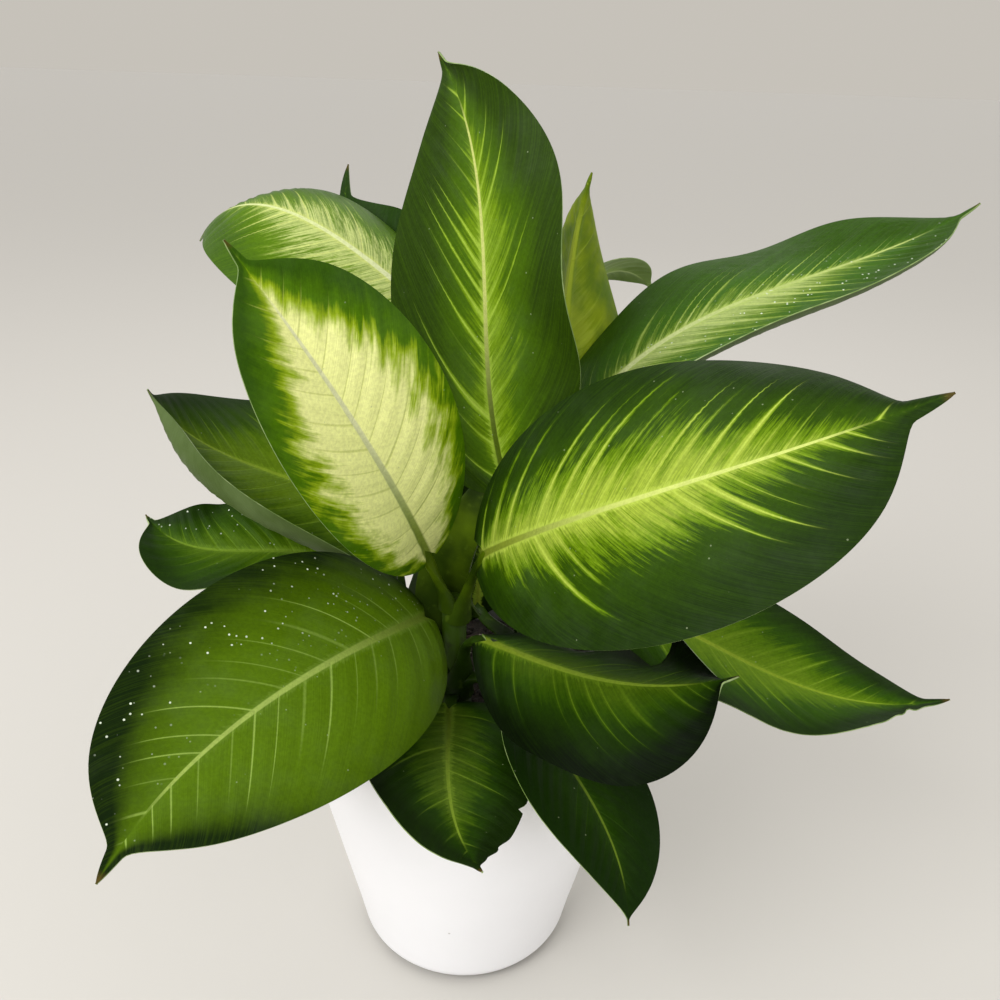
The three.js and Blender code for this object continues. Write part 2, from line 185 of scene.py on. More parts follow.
veins = {
    "wobble": (1.7, 0.12, 1.0, 0.31),  # two sines that space the side veins unevenly, in mm and per mm
    "curve": 0.22,  # how much the side veins turn towards the tip near the margin
    "lean": (0.6, 1.0),  # a leaf's lean is times the first at its base, and grows by the second to its tip
    "sidePhase": 1.3,  # sets the veins of one half apart from those of the other
    "width": (0.85, 0.6),  # mm at the midrib, and what is lost of it on the way to the margin
    "glow": 0.22,  # half width of the light band along a side vein, as a share of the spacing
}
streaks = {
    # how many per mm across the side veins, with the noise's detail and roughness
    "tongue": (0.13, 3.0, 0.6),
    "streak": (0.8, 4.0, 0.8),
    "fine": (1.5, 1.0, 0.5),
    "along": 0.06,  # per mm along the side veins
    "cloud": 0.045,  # per mm both ways
}
measures = ("across", "along", "veinAlong", "rib", "halo", "vein", "glow", "tongue", "streak", "fine",
            "cloud", "side")
tones = ("dark", "green", "lime", "pale", "veinTone", "ribBase", "ribTip")
amounts = ("zone", "zoneStart", "zoneEnd", "lopsided", "tongues", "feather", "veinReach",
           "limeShare", "paleShare", "veinShare", "haloShare", "fineShare")


def makeLeafPattern():
    group, given, out = newGroup("leafPattern", {
        "Vector": ("share", "millimetres"),
        "Float": ("spacing", "lean", "ribWidth", "length", "evenness", "seed"),
    }, {"Float": (*measures, "height")})
    seed = given["seed"]
    shareAcross, along = partsOf(given["share"])[:2]
    realAcross, realAlong = partsOf(given["millimetres"])[:2]
    signed = shareAcross * 2.0 - 1.0
    across = abs(signed)
    side = calc("SIGN", signed)
    away = abs(realAcross)
    # a side vein leaves the midrib, runs forward and curves on along the margin
    start, gain = veins["lean"]
    lean = given["lean"] * (along * gain + start)
    straight = realAlong - away * (across ** 2.0 * veins["curve"] + lean)
    deep, slow, small, quick = veins["wobble"]
    phase = side * veins["sidePhase"] + seed
    first = calc("SINE", straight * slow + phase)
    second = calc("SINE", straight * quick + phase)
    place = straight + (first * deep + second * small)
    count = place / given["spacing"]
    nearest = calc("ROUND", count)
    distance = abs(count - nearest) * given["spacing"]
    # chance makes some side veins strong and others faint
    chance = addNode(group, "TexWhiteNoise", {"Vector": vectorOf(nearest, side, seed)}, "Value")
    strong = calc("MAXIMUM", ease(chance, 0.15, 0.95, 0.08, 1.0), given["evenness"])
    width, loss = veins["width"]
    line = ease(distance, 0.1, across * -loss + width, 1.0, 0.0)
    ends = ease(across, strong * 0.3 + 0.15, strong * 0.35 + 0.5, 1.0, 0.0)
    vein = line * strong * ends
    glow = ease(distance, 0.0, given["spacing"] * veins["glow"], 1.0, 0.0) * strong
    found = {}
    for label in ("tongue", "streak", "fine"):
        often, detail, roughness = streaks[label]
        places = vectorOf(place * often, away * streaks["along"], side * 17.0 + seed)
        found[label] = noiseAt(places, 1.0, detail, roughness)
    cloudPlaces = vectorOf(realAcross * streaks["cloud"], realAlong * streaks["cloud"], seed)
    cloud = noiseAt(cloudPlaces, 1.0, 3.0, 0.6)
    # the midrib narrows to the tip, with a toothed light border along it
    ribHalf = (1.0 - along) * given["ribWidth"] + 0.25
    rib = ease(away, ribHalf * 0.6, ribHalf * 1.1, 1.0, 0.0) * ease(along, 0.78, 0.9, 1.0, 0.0)
    teeth = (found["streak"] - 0.45) * 9.0 + ribHalf
    halo = ease(away, teeth, teeth + 1.2, 1.0, 0.0) * ease(along, 0.5, 0.9, 1.0, 0.0)
    found.update(across=across, along=along, veinAlong=straight / given["length"], rib=rib, halo=halo,
                 vein=vein, glow=glow, cloud=cloud, side=side,
                 height=cloud * 0.5 + (vein * -0.8 + found["fine"] * 0.7))
    for label, value in found.items():
        wire(out[label], value)
    return group


# Leaf colour: dark at the margin, green, then lime and pale towards the midrib

border = {
    "begin": 0.22,  # share of the length over which the light part widens from its start
    "end": 0.4,  # and over which it narrows to its end
    "inset": 0.22,  # how far the border draws in where the light part ends
    "clouds": 0.35, "tongues": 4.0, "streaks": 3.0,  # how far each shifts the border
    "green": (-0.5, 0.0), "lime": (-0.05, 0.16), "pale": (0.1, 0.42),  # where each sets in, from the border
    "veins": (-0.3, 0.1),
    "dryTip": (0.975, 0.995), "dry": "#4f3f1a",  # shares of the length, and the dry tip's tone
}


def makeLeafColour():
    group, given, out = newGroup("leafColour", {"Float": (*measures, *amounts), "Color": tones},
                                 {"Color": ("colour",)})
    along = given["along"]
    begin = ease(given["veinAlong"], given["zoneStart"], given["zoneStart"] + border["begin"])
    left = calc("DIVIDE", given["zoneEnd"] - along, border["end"], clamp=True)
    reach = begin * left ** 0.6
    zone = given["zone"] * (given["side"] * given["lopsided"] + 1.0) * reach
    # tongues and clouds shift the zone's border; streaks fray it, most where it turns lime
    strength = reach * 0.75 + 0.25
    slow = (given["tongue"] - 0.5) * (given["tongues"] * border["tongues"])
    slow = slow + (given["cloud"] - 0.5) * border["clouds"]
    quick = (given["streak"] - 0.5) * (given["feather"] * border["streaks"])
    quick = quick + given["glow"] * given["veinReach"]
    frayed = quick * strength
    calm = slow * strength + (zone - given["across"]) - (1.0 - reach) * border["inset"]
    value = calm + frayed
    green = mixColour(ease(frayed * 0.45 + calm, *border["green"]), given["dark"], given["green"])
    lime = mixColour(ease(value, *border["lime"]) * given["limeShare"], green, given["lime"])
    pale = mixColour(ease(value, *border["pale"]) * given["paleShare"], lime, given["pale"])
    between = ease(given["fine"], 0.42, 0.65) * (1.0 - given["glow"] * 0.7)
    lined = mixColour(between * given["fineShare"], pale, given["green"])
    haloed = mixColour(given["halo"] * given["haloShare"], lined, given["veinTone"])
    shown = given["veinShare"] * ease(value, *border["veins"], 0.08, 1.0)
    veined = mixColour(given["vein"] * shown, haloed, given["veinTone"])
    rib = mixColour(ease(along, 0.05, 0.55), given["ribBase"], given["ribTip"])
    ribbed = mixColour(given["rib"], veined, rib)
    dry = ease(along, *border["dryTip"], 0.0, 0.8)
    wire(out["colour"], mixColour(dry, ribbed, paint(border["dry"])))
    return group


# Specks: round marks in some of the cells of a loose grid

marks = {
    # size as a share of a cell, share of the cells that hold a mark
    "dust": {"perMetre": 260.0, "size": 0.11, "share": 0.1},
    "drops": {"perMetre": 380.0, "size": 0.21, "share": 0.4},
    "dots": {"perMetre": 70.0, "size": 0.055, "share": 0.12},
}


def makeSpecks():
    group, given, out = newGroup("specks", {"Vector": ("places",), "Float": ("perMetre", "size", "share")},
                                 {"Float": ("mask",)})
    cells = group.nodes.new("ShaderNodeTexVoronoi")
    wire(cells.inputs["Vector"], given["places"])
    wire(cells.inputs["Scale"], given["perMetre"])
    distance, colour = [Value(group, cells.outputs[label]) for label in ("Distance", "Color")]
    near = ease(distance, given["size"] * 0.6, given["size"], 1.0, 0.0)
    wire(out["mask"], near * calc("LESS_THAN", calc("FRACT", colour * 7.31), given["share"]))
    return group


def speckMask(material, kind):
    return placeGroup(material, specks, {"places": objectPlaces(material), **marks[kind]})["mask"]


leafPattern = makeLeafPattern()
leafColour = makeLeafColour()
specks = makeSpecks()
print("shared patterns ready")


# Leaf paints: what differs between the leaves.
# dark, green, lime and pale follow each other from the margin to the midrib. zone is how far out the
# light part reaches, zoneStart and zoneEnd are where it lies along the leaf, and lopsided is how much
# further it reaches on the right. tongues, feather and veinReach fray its border, by wide tongues, by
# fine streaks and along the side veins. Each share is how strongly a mark shows. spacing in mm, lean
# and evenness are those of the side veins. gloss is the shine, and the grey-green haze share a painted
# sheen; wet gives the shares across between which drops set in, their pale glints painted; and under
# is the tone of the underside.

basePaint = dict(
    dark="#243e06", green="#315702", lime="#6b8c0a", pale="#acc144",
    veinTone="#8faa31", ribBase="#6d7d22", ribTip="#94a837",
    zone=0.3, zoneStart=-0.1, zoneEnd=0.92, lopsided=0.0, tongues=0.12, feather=0.3, veinReach=0.35,
    limeShare=0.8, paleShare=0.5, veinShare=0.55, haloShare=0.5, fineShare=0.15,
    spacing=9.5, lean=0.8, evenness=0.0, ribWidth=2.3, roughness=0.42, gloss=0.05, sheenShare=0.05,
)
# the grey-green tone below is a painted sheen
bladeSkin = {
    # the pale tone below is the painted glint of water drops
    "dust": "#9aa682", "sheenTone": "#74866a", "drop": "#d3dcc8",
    "grainNoise": (650.0, 3.0, 0.6), "sheenNoise": (26.0, 4.0, 0.65), "dropNoise": (45.0, 2.0),  # per metre
    "bump": (0.35, 0.0005),  # strength, and depth in metres
}
# the undersides' tones: shade, light and veins
undersides = {
    "grey": ("#4c5e2c", "#5e7040", "#74854e"),
    # pale is lightened as painted light, so that an underside turned from the lamps looks lit
    "pale": ("#86a058", "#9cb66e", "#a9bd7c"),
    "yellow": ("#567204", "#8ea004", "#9fb030"),
}


def placeLeafColour(material, look, length, seed):
    pattern = placeGroup(material, leafPattern, {
        "share": uvPlaces(material, "UVMap"), "millimetres": uvPlaces(material, "millimetres"),
        **{label: look[label] for label in ("spacing", "lean", "ribWidth", "evenness")},
        "length": length, "seed": seed,
    })
    colour = placeGroup(material, leafColour, {
        **{label: pattern[label] for label in measures},
        **{label: look[label] for label in amounts},
        **{label: paint(look[label]) for label in tones},
    })["colour"]
    return pattern, colour


def makeBladeMaterial(name, look, length, seed):
    material, shader = newMaterial(name, look["roughness"], Specular_IOR_Level=look["gloss"])
    pattern, colour = placeLeafColour(material, look, length, seed)
    places = objectPlaces(material)
    dusty = mixColour(speckMask(material, "dust") * 0.4, colour, paint(bladeSkin["dust"]))
    grain = ease(noiseAt(places, *bladeSkin["grainNoise"]), 0.3, 0.7, 0.92, 1.1)
    grained = mixColour(1.0, dusty, vectorOf(grain, grain, grain), "MULTIPLY")
    # painted sheen: a grey-green haze in patches stands for the leaf's soft shine
    sheenShare = ease(noiseAt(places, *bladeSkin["sheenNoise"]), 0.45, 0.75, 0.0, look["sheenShare"])
    skin = mixColour(sheenShare, grained, paint(bladeSkin["sheenTone"]))
    if "wet" in look:
        # small water drops in clusters near one margin, painted as pale glints
        clusters = ease(noiseAt(places, *bladeSkin["dropNoise"]), 0.34, 0.54)
        near = ease(partsOf(uvPlaces(material, "UVMap"))[0], *look["wet"]) * clusters
        skin = mixColour(speckMask(material, "drops") * near, skin, paint(bladeSkin["drop"]))
    wire(shader["Base Color"], skin)
    smooth = look["roughness"] - 0.05
    wire(shader["Roughness"], ease(pattern["cloud"], 0.3, 0.7, smooth, smooth + 0.15))
    addBump(shader, pattern["height"], *bladeSkin["bump"])
    return material


def makeUndersideMaterial(name, look, length, seed):
    # paler and duller than the upper side, whose markings show through a little
    shade, light, veinTone = [paint(tone) for tone in undersides[look.get("under", "grey")]]
    material, shader = newMaterial(name, 0.5, Specular_IOR_Level=0.1)
    pattern, colour = placeLeafColour(material, look, length, seed)
    body = mixColour(ease(pattern["cloud"], 0.3, 0.7), shade, light)
    marked = mixColour(0.32, body, colour)
    veined = mixColour(pattern["vein"] * 0.4, marked, veinTone)
    wire(shader["Base Color"], mixColour(pattern["rib"], veined, veinTone))
    addBump(shader, pattern["height"] * -1.0, 0.4, 0.0005)
    return material


def makeEdgeMaterial():
    # the thin margin, partly its own paler tissue and partly a painted edge highlight, greener in a few
    # spots
    material, shader = newMaterial("leafEdge", 0.45)
    spots = ease(noiseAt(objectPlaces(material), 160.0, 2.0), 0.3, 0.6)
    wire(shader["Base Color"], mixColour(spots, paint("#8fa168"), paint("#637d38")))
    return material


def makeStalkMaterial(name, low, high, cloudy):
    material, shader = newMaterial(name, 0.42, Specular_IOR_Level=0.15)
    places = objectPlaces(material)
    fleck = noiseAt(places, 220.0, 2.0)
    height = partsOf(uvPlaces(material, "UVMap"))[1]
    # darker towards the foot: painted shade of the crowded middle of the plant
    body = mixColour(ease(height, 0.0, 0.9), paint(low), paint(high))
    clouded = mixColour(ease(noiseAt(places, 45.0, 3.0), 0.35, 0.65), body, paint(cloudy))
    flecked = mixColour(ease(fleck, 0.6, 0.75, 0.0, 0.25), clouded, paint("#5d7520"))
    wire(shader["Base Color"], flecked)
    addBump(shader, fleck, 0.2, 0.0004)
    return material


edgeMaterial = makeEdgeMaterial()
# each with its tone at the foot, darker as painted shade, its tone at the top and its cloudy tone
stalkMaterials = {
    "old": makeStalkMaterial("leafStalk", "#1b2d03", "#2d4706", "#152303"),
    "young": makeStalkMaterial("youngStalk", "#2d4004", "#587006", "#223403"),
}

# Canes: where each stands in the soil, and its height
canes = {
    "front": {"x": -8, "y": -6, "top": 212, "radius": 6.2, "node": "cane_front"},
    "right": {"x": 32, "y": 22, "top": 176, "radius": 7.5, "node": "cane_right"},
    "left": {"x": -34, "y": 24, "top": 172, "radius": 7.5, "node": "cane_left"},
}

# Leaves. foot is the height at which the stalk stands on its cane, and turn the side it leaves on;
# sheath, clasp, flat, bow and lead shape the stalk. base, tip, rise and swing set the midrib; looks is
# the turn and tilt of the upper face. sides are the halves' own widths; taper, point and drip set where
# the body ends, how slim it is, and how wide the drawn-out tip is; nicks are side, place, depth and
# spread of torn spots. fold, curl and roll bend each half across, roll from the share rollFrom on;
# wave, waves and start ripple the margins.
usualLeaf = dict(
    stalk="old", sheath=0.3, clasp=9.8, flat=0.82, bow=None, lead=45, sides=(1, 1), point=1.15, nicks=(),
    roll=(0, 0), rollFrom=0, wave=(0, 0), waves=(2, 2), start=(0, 0),
)
leaves = {
    "leafCream": dict(
        node="leaf_cream", cane="front", stalk="young", foot=206, turn=-130, clasp=6.8,
        base=(-21, -23, 244), tip=(-85, -82, 393), rise=(20, 17), swing=(-3, -1), looks=(11, 45), twist=3,
        width=81, widest=0.5, sides=(0.93, 1.04), taper=0.951, drip=0.11, fold=14, curl=(-4, -5),
        curlTip=(-2, -4),
        paint=dict(
            dark="#2d4d03", green="#456a02", lime="#8ba414", pale="#e8eb9c", veinTone="#a3ad50",
            ribBase="#84943a", ribTip="#cfd2a4", zone=0.89, zoneStart=-0.35, zoneEnd=0.97, tongues=0.26,
            feather=0.14, veinReach=0.08, limeShare=1.0, paleShare=1.0, haloShare=0.0, fineShare=0.05,
            spacing=13.0, evenness=0.75, ribWidth=2.4,
        ),
    ),
    "leafLargeRight": dict(
        node="leaf_large_right", cane="front", stalk="young", foot=200, turn=-50, clasp=7.6,
        base=(7, -31, 248), tip=(163, -111, 356), rise=(36, 20), swing=(12, 12), looks=(10, 48),
        twist=-16, width=115, widest=0.48, sides=(1.03, 0.97), taper=0.936, drip=0.146, fold=-2,
        curl=(11, 10), curlTip=(-37, -20),
        paint=dict(
            dark="#172a04", green="#294302", lime="#5d7c07", pale="#a4b542", veinTone="#aabd4c",
            ribBase="#758227", ribTip="#bcc76c", zone=0.44, zoneStart=-0.28, zoneEnd=0.95, lopsided=-0.08,
            tongues=0.08, veinReach=0.44, limeShare=1.0, paleShare=0.7, veinShare=0.8, haloShare=0.6,
            fineShare=0.3, spacing=11.0, ribWidth=1.6,
        ),
    ),
    "leafUpright": dict(
        node="leaf_upright", cane="front", stalk="young", foot=190, turn=90, sheath=1.4, clasp=16,
        flat=0.4, bow=(-22, 2), lead=10,
        base=(14, -14, 282), tip=(-20, 39, 455), rise=(0, 8), swing=(-8, 32), looks=(-31, -2), twist=0,
        width=99, widest=0.38, taper=0.967, drip=0.13, fold=9, curl=(-4, -5), curlTip=(-11, -2),
        wave=(-1.5, 9), waves=(1.5, 1.9), start=(0, 132),
        paint=dict(
            dark="#223604", green="#3c5a03", lime="#6c8b0a", pale="#9dba41", veinTone="#93ad3c",
            ribBase="#45580c", ribTip="#b4bb6a", zone=0.24, zoneStart=-0.35, zoneEnd=0.98, lopsided=0.3,
            tongues=0.06, feather=0.22, veinReach=0.42, limeShare=0.75, paleShare=0.6, veinShare=0.8,
            fineShare=0.25, spacing=11.0, lean=1.3, evenness=0.1, ribWidth=1.6,
        ),
    ),
    "leafFrontRight": dict(
        node="leaf_front_right", cane="front", foot=164, turn=-40,
        base=(9, -41, 208), tip=(111, -97, 231), rise=(-4, -2), swing=(7, 22), looks=(8, 75), twist=2,
        width=84, widest=0.53, taper=0.953, drip=0.1, fold=-22, curl=(-12, -13), curlTip=(-17, -16),
        roll=(95, 0), rollFrom=0.66, wave=(5, -3.5), waves=(3.1, 1.8), start=(-20, -20),
        paint=dict(
            dark="#050e01", green="#182d01", lime="#2d4802", pale="#627b15", veinTone="#5e7916",
            ribBase="#687a1e", ribTip="#6f8524", zone=0.44, zoneStart=-0.5, zoneEnd=1.05, tongues=0.05,
            feather=0.12, veinReach=0.15, limeShare=0.7, paleShare=0.25, veinShare=0.35, haloShare=0.35,
            spacing=9.0, lean=0.7, ribWidth=2.0, roughness=0.5, gloss=0.03, sheenShare=0.02,
        ),
    ),
    "leafFrontLeft": dict(
        node="leaf_front_left", cane="front", foot=160, turn=-150,
        base=(-22, -14, 203), tip=(-120, -177, 193), rise=(39, 12), swing=(-1, 25), looks=(2, 41),
        twist=17, width=105, widest=0.45, sides=(0.94, 1.04), taper=0.95, drip=0.13, fold=3,
        curl=(-24, -6), curlTip=(7, 5),
        paint=dict(
            dark="#0c1c02", green="#3f5802", lime="#4a6604", pale="#67891a", veinTone="#869f46",
            ribBase="#5c7020", ribTip="#8a9e4a", zone=0.7, zoneStart=-0.5, zoneEnd=0.98, lopsided=-0.25,
            tongues=0.05, feather=0.1, veinReach=0.1, limeShare=0.6, paleShare=0.1, veinShare=0.85,
            haloShare=0.15, spacing=13.0, lean=0.75, evenness=0.4, ribWidth=2.2, sheenShare=0.05,
            wet=(0.5, 0.85),
        ),
    ),
    "leafHanging": dict(
        node="leaf_hanging", cane="front", foot=156, turn=-25,
        base=(31, -42, 171), tip=(70, -139, 139), rise=(6, 7), swing=(0, -15), looks=(35, 46), twist=7,
        width=62, widest=0.42, taper=0.99, point=1.7, drip=0.04, fold=8, curl=(-6, -3), curlTip=(-5, -5),
        paint=dict(
            dark="#0e2101", green="#132701", lime="#1d3601", pale="#335109", veinTone="#2e480b",
            ribBase="#2f480b", ribTip="#576c1c", zone=0.4, tongues=0.05, feather=0.15, veinReach=0.05,
            limeShare=0.5, paleShare=0.05, veinShare=0.25, spacing=9.0, lean=1.2, ribWidth=1.0,
            sheenShare=0.01,
        ),
    ),
    "leafFrontLow": dict(
        node="leaf_front_low", cane="front", foot=151, turn=-90,
        base=(-9, -27, 159), tip=(11, -139, 165), rise=(9, -8), swing=(5, 14), looks=(23, 59), twist=-12,
        width=76, widest=0.42, taper=0.97, drip=0.09,
        nicks=((0, 0.7, 0.1, 0.012), (0, 0.87, 0.15, 0.02), (0, 0.92, 0.2, 0.015), (1, 0.94, 0.15, 0.015)),
        fold=9, curl=(-5, -4), curlTip=(-8, -1), wave=(2.6, 2.9), waves=(2, 1.85), start=(0, -15),
        paint=dict(
            dark="#102002", green="#1c3402", lime="#385304", pale="#647d20", veinTone="#7d992d",
            ribBase="#516414", ribTip="#6f8626", zone=0.48, zoneStart=-0.5, zoneEnd=0.95, feather=0.25,
            veinReach=0.15, limeShare=0.7, paleShare=0.3, veinShare=0.35, haloShare=0.3, spacing=9.0,
            lean=0.6, ribWidth=1.5, sheenShare=0.02,
        ),
    ),
    "leafRolled": dict(
        node="leaf_rolled", cane="right", foot=170, turn=60,
        base=(43, 44, 282), tip=(53, 79, 404), rise=(0, 3), swing=(4, 10), looks=(159, -8), twist=48,
        width=80, widest=0.37, taper=0.952, drip=0.1, fold=55, curl=(3, 22), curlTip=(26, 28),
        paint=dict(
            dark="#3d5605", green="#4a6604", lime="#738e15", pale="#b3c15b", zone=0.5, feather=0.4,
            paleShare=0.6, under="yellow",
        ),
    ),
    "leafLongRight": dict(
        node="leaf_long_right", cane="right", foot=165, turn=-10,
        base=(52, 14, 301), tip=(240, 65, 397), rise=(27, -8), swing=(-20, 1), looks=(-1, 76), twist=5,
        width=90, widest=0.4, taper=0.955, drip=0.1, fold=2, curl=(-12, 5), curlTip=(-4, 8), roll=(0, 53),
        wave=(3.6, 0.4), waves=(2.5, 2.9), start=(132, -7),
        paint=dict(
            dark="#2a4608", green="#355a07", lime="#6a8424", pale="#b4c176", veinTone="#a3b758",
            ribBase="#bfc88c", ribTip="#a3b364", zone=0.36, zoneStart=-0.5, zoneEnd=0.84, lopsided=0.35,
            tongues=0.1, feather=0.26, veinReach=0.3, paleShare=0.7, fineShare=0.4, spacing=8.0, lean=1.4,
            evenness=0.3, ribWidth=1.8, wet=(0.3, 0.7),
        ),
    ),
    "leafBackDrooping": dict(
        node="leaf_back_drooping", cane="right", foot=160, turn=100,
        base=(41, 106, 312), tip=(103, 150, 328), rise=(23, 42), swing=(-15, 26), looks=(10, 123),
        twist=19, width=56, widest=0.34, taper=0.93, drip=0.09, fold=3, curl=(-15, 3), curlTip=(-17, -5),
        # its underside is painted pale, as painted light on a face turned down from the lamps
        paint=dict(dark="#2d470c", green="#3a590a", zone=0.25, under="pale"),
    ),
    "leafRightLow": dict(
        node="leaf_right_low", cane="right", foot=154, turn=-30,
        base=(63, 4, 209), tip=(229, -42, 184), rise=(1, -28), swing=(0, 20), looks=(11, 74), twist=-24,
        width=81, widest=0.41, taper=0.955, point=1.35, drip=0.13,
        nicks=((1, 0.895, 0.4, 0.012), (1, 0.86, 0.15, 0.02)), fold=14, curl=(-6, -7), curlTip=(-2, 0),
        wave=(0.9, 3.9), waves=(2, 2.4), start=(0, 86),
        paint=dict(
            dark="#182c04", green="#2f5003", lime="#5a7d06", pale="#88a727", veinTone="#7d9c27",
            ribBase="#91a633", ribTip="#87a028", zone=0.52, zoneStart=-0.5, zoneEnd=0.98, tongues=0.08,
            feather=0.2, veinReach=0.2, limeShare=0.7, paleShare=0.3, spacing=10.0, lean=0.85,
            ribWidth=1.8, sheenShare=0.03,
        ),
    ),
    "leafBackRight": dict(
        node="leaf_back_right", cane="right", foot=151, turn=55,
        base=(47, 62, 205), tip=(118, 182, 212), rise=(22, 16), swing=(4, -4), looks=(20, 70), twist=0,
        width=84, widest=0.45, taper=0.952, drip=0.1, fold=10, curl=(-4, -5), curlTip=(-4, -6),
        paint=dict(zone=0.45, feather=0.35),
    ),
    "leafInner": dict(
        node="leaf_inner", cane="right", foot=156, turn=150,
        base=(2, 52, 170), tip=(6, 70, 258), rise=(2, 4), swing=(0, 3), looks=(0, 12), twist=0, width=42,
        widest=0.42, taper=0.952, drip=0.1, fold=8, curl=(-4, -5), curlTip=(-4, -6),
        # painted shade: this leaf's tones are darkened for the shadow inside the clump
        paint=dict(
            dark="#0d1a01", green="#162b01", zone=0.1, veinReach=0.1, limeShare=0.2, paleShare=0.0,
            veinShare=0.2, ribWidth=1.4, sheenShare=0.01,
        ),
    ),
    "leafArched": dict(
        node="leaf_arched", cane="left", foot=167, turn=60,
        base=(-23, 47, 339), tip=(-151, 100, 361), rise=(21, 67), swing=(6, -5), looks=(0, 66), twist=-6,
        width=99, widest=0.4, sides=(1.06, 0.98), taper=0.945, drip=0.09, nicks=((1, 0.8, 0.14, 0.012),),
        fold=-10, curl=(-16, -18), curlTip=(-5, -14),
        paint=dict(
            dark="#375310", green="#4b6b0a", lime="#6b852a", pale="#b8c378", veinTone="#c1ca6f",
            ribBase="#ccd2a2", ribTip="#c2cb8e", zone=0.56, zoneStart=-0.5, zoneEnd=0.82, tongues=0.08,
            feather=0.66, veinReach=0.25, limeShare=1.0, paleShare=0.85, fineShare=0.5, spacing=8.5,
            lean=0.7, ribWidth=2.0,
        ),
    ),
    "leafBackLeft": dict(
        node="leaf_back_left", cane="left", foot=162, turn=80,
        base=(-12, 84, 286), tip=(-76, 133, 399), rise=(22, 2), swing=(24, -39), looks=(-21, 17), twist=4,
        width=75, widest=0.46, taper=0.905, drip=0.12, fold=8, curl=(-5, -6), curlTip=(-5, -7),
        paint=dict(dark="#1c3407", green="#274503", zone=0.2),
    ),
    "leafLeftCurled": dict(
        node="leaf_left_curled", cane="left", foot=157, turn=180,
        base=(-46, 32, 218), tip=(-158, 20, 304), rise=(27, -34), swing=(3, 0), looks=(-12, 74), twist=35,
        width=108, widest=0.45, sides=(1.19, 1), taper=0.982, drip=0.11, fold=7, curl=(2, -5),
        curlTip=(3, -5), roll=(88, 0),
        paint=dict(
            dark="#192f03", green="#2b4501", lime="#486503", pale="#85a224", veinTone="#759221",
            ribBase="#7d9327", ribTip="#7a9324", zone=0.58, zoneStart=-0.5, zoneEnd=1.0, tongues=0.08,
            feather=0.2, veinReach=0.15, limeShare=0.7, paleShare=0.25, spacing=10.0, ribWidth=1.8,
            sheenShare=0.02,
        ),
    ),
    "leafLeftLow": dict(
        node="leaf_left_low", cane="left", foot=152, turn=170,
        base=(-74, 23, 213), tip=(-173, 34, 230), rise=(9, -5), swing=(-1, -27), looks=(-15, 66),
        twist=-6, width=60, widest=0.5, taper=0.955, drip=0.12, fold=14, curl=(-4, -5), curlTip=(-5, -2),
        wave=(3.9, -3.6), waves=(2.4, 2), start=(38, 0),
        paint=dict(
            dark="#192e05", green="#294502", lime="#3a5802", pale="#769721", veinTone="#64831c",
            ribBase="#5f7a20", ribTip="#688424", zone=0.5, zoneStart=-0.5, zoneEnd=0.98, tongues=0.08,
            feather=0.2, veinReach=0.15, limeShare=0.6, paleShare=0.2, veinShare=0.35, ribWidth=1.6,
            sheenShare=0.02, wet=(0.45, 0.8),
        ),
    ),
    "leafBackLow": dict(
        node="leaf_back_low", cane="left", foot=150, turn=125,
        base=(-50, 62, 206), tip=(-112, 176, 222), rise=(20, 14), swing=(-4, 4), looks=(-15, 72), twist=0,
        width=80, widest=0.45, taper=0.952, drip=0.1, fold=10, curl=(-5, -4), curlTip=(-6, -4),
        paint=dict(zone=0.4, feather=0.35),
    ),
}

blade = {
    "rows": 110,
    "columns": 44,
    "thickness": 0.8,
    "edgeThickness": 0.5,
    "ribDepth": 2.4,  # how far the midrib stands out below, at the base
    "ribHalf": 2.6,  # half width of the midrib below
    "lobe": 0.05,  # how far the base lobes reach back, as a share of the length
    "tipHalf": 0.4,
    "fullness": 1.15,  # below 1 the body is fuller, above 1 slimmer
    "tailShare": 0.15,  # share of the length over which the drawn-out tip runs to nothing
    "tailPower": 0.7,
    "tipEase": 0.035,  # how softly the body runs out into its tip
    "groove": 0.5,  # depth of the channel along the midrib above
    "grooveHalf": 1.6,
    "pleat": 0.3,  # height of the soft pleats between side veins
}


def unit(vectors):
    return vectors / np.linalg.norm(vectors, axis=-1, keepdims=True)


def curveAt(a, b, c, d, t):
    # a smooth curve from a to d, drawn towards b and c: its points and directions at shares t
    t = np.asarray(t, float)[:, None]
    point = (1 - t) ** 3 * a + 3 * (1 - t) ** 2 * t * b + 3 * (1 - t) * t ** 2 * c + t ** 3 * d
    return point, unit((1 - t) ** 2 * (b - a) + 2 * (1 - t) * t * (c - b) + t ** 2 * (d - c))


def ribFrame(leaf, t):
    # the midrib's points at shares t, with the directions along it, to its right and to its upper face
    base = np.array(leaf["base"], float)
    tip = np.array(leaf["tip"], float)
    chord = tip - base
    forward = unit(chord)
    turn, tilt = np.radians(leaf["looks"])
    look = np.array([np.sin(turn) * np.cos(tilt), -np.cos(turn) * np.cos(tilt), np.sin(tilt)])
    right = unit(np.cross(forward, look))
    up = np.cross(right, forward)
    first = base + chord / 3 + up * leaf["rise"][0] + right * leaf["swing"][0]
    second = base + chord * 2 / 3 + up * leaf["rise"][1] + right * leaf["swing"][1]
    point, along = curveAt(base, first, second, tip, t)
    angle = math.radians(leaf["twist"]) * (np.asarray(t, float)[:, None] - 0.5)
    turned = up * np.cos(angle) + np.cross(forward, up) * np.sin(angle)
    across = unit(np.cross(along, turned))
    return point, along, across, np.cross(across, along)


def bladeOutline(leaf, t):
    # share of the half width: round base, widest point, drawn-out tip
    q = np.clip(t / leaf["taper"], 0, 1)
    m = leaf["widest"] / leaf["taper"]
    slim = np.where(q < m, blade["fullness"], leaf["point"])
    body = ((q / m) ** m * ((1 - q) / (1 - m)) ** (1 - m)) ** slim * (1 - np.exp((q - 1) / blade["tipEase"]))
    tail = np.clip((1 - t) / blade["tailShare"], 0, 1) ** blade["tailPower"]
    return np.hypot(body, leaf["drip"] * tail)


